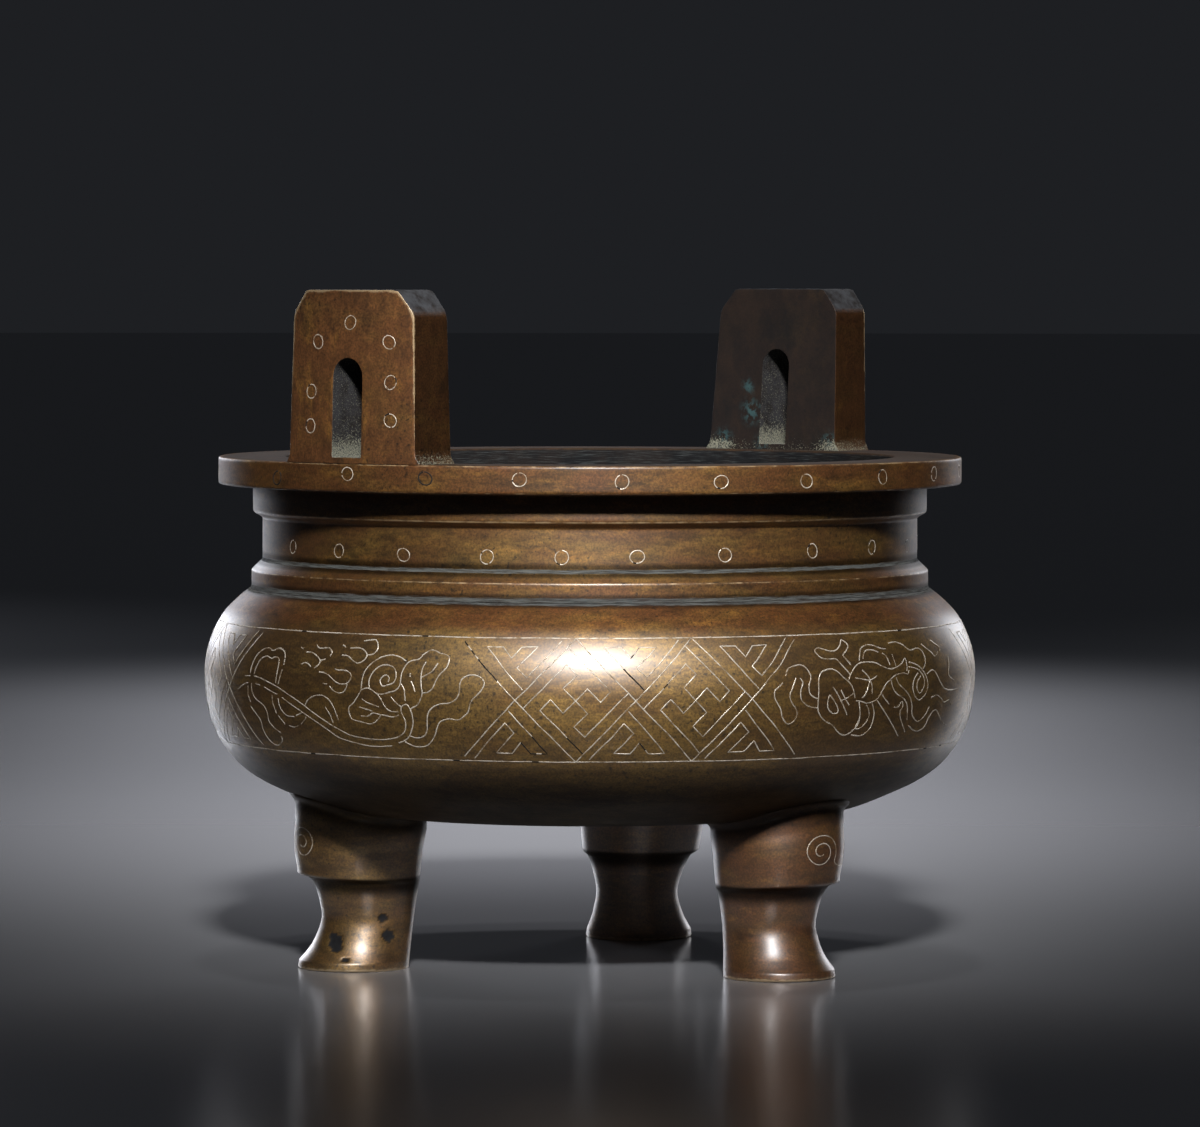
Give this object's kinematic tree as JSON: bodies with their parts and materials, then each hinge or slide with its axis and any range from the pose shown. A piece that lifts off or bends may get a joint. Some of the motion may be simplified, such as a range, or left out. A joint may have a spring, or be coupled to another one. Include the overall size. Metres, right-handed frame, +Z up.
{
  "type": "tripod incense burner",
  "caption": "Round-bellied bronze incense burner with a flat lip, upright loop handles on the lip, waisted legs and silver wire inlay on the belly.",
  "frame": {"origin": "on the surface that the burner stands on, under the centre of the bowl", "axes": "+Z up, the handles on -X and +X, the front leg towards -Y"},
  "size_m": [0.1298, 0.1298, 0.1134],
  "materials": {
    "bronze_bowl": "brown bronze patina, satin, with fine turning marks",
    "bronze_handle": "brown bronze patina, satin, worn bright on the edges",
    "bronze_leg": "brown bronze patina, satin, pitted at the toes",
    "silver_wire": "hammered silver wire, rubbed smooth"
  },
  "bodies": {
    "root": {"bowl": "bronze_bowl", "handle_left": "bronze_handle", "handle_right": "bronze_handle", "leg_front": "bronze_leg", "leg_back_right": "bronze_leg", "leg_back_left": "bronze_leg", "frieze_upper_wire": "silver_wire", "frieze_lower_wire": "silver_wire", "lattice_front_left": "silver_wire", "fret_front_left_1": "silver_wire", "fret_front_left_2": "silver_wire", "hook_front_left_upper_1": "silver_wire", "hook_front_left_lower_1": "silver_wire", "hook_front_left_upper_2": "silver_wire", "hook_front_left_lower_2": "silver_wire", "hook_front_left_upper_3": "silver_wire", "hook_front_left_lower_3": "silver_wire", "lattice_front_right": "silver_wire", "fret_front_right_1": "silver_wire", "fret_front_right_2": "silver_wire", "hook_front_right_upper_1": "silver_wire", "hook_front_right_lower_1": "silver_wire", "hook_front_right_upper_2": "silver_wire", "hook_front_right_lower_2": "silver_wire", "hook_front_right_upper_3": "silver_wire", "hook_front_right_lower_3": "silver_wire", "lattice_back_right": "silver_wire", "fret_back_right_1": "silver_wire", "fret_back_right_2": "silver_wire", "hook_back_right_upper_1": "silver_wire", "hook_back_right_lower_1": "silver_wire", "hook_back_right_upper_2": "silver_wire", "hook_back_right_lower_2": "silver_wire", "hook_back_right_upper_3": "silver_wire", "hook_back_right_lower_3": "silver_wire", "lattice_back_left": "silver_wire", "fret_back_left_1": "silver_wire", "fret_back_left_2": "silver_wire", "hook_back_left_upper_1": "silver_wire", "hook_back_left_lower_1": "silver_wire", "hook_back_left_upper_2": "silver_wire", "hook_back_left_lower_2": "silver_wire", "hook_back_left_upper_3": "silver_wire", "hook_back_left_lower_3": "silver_wire"}
  },
  "joints": []
}
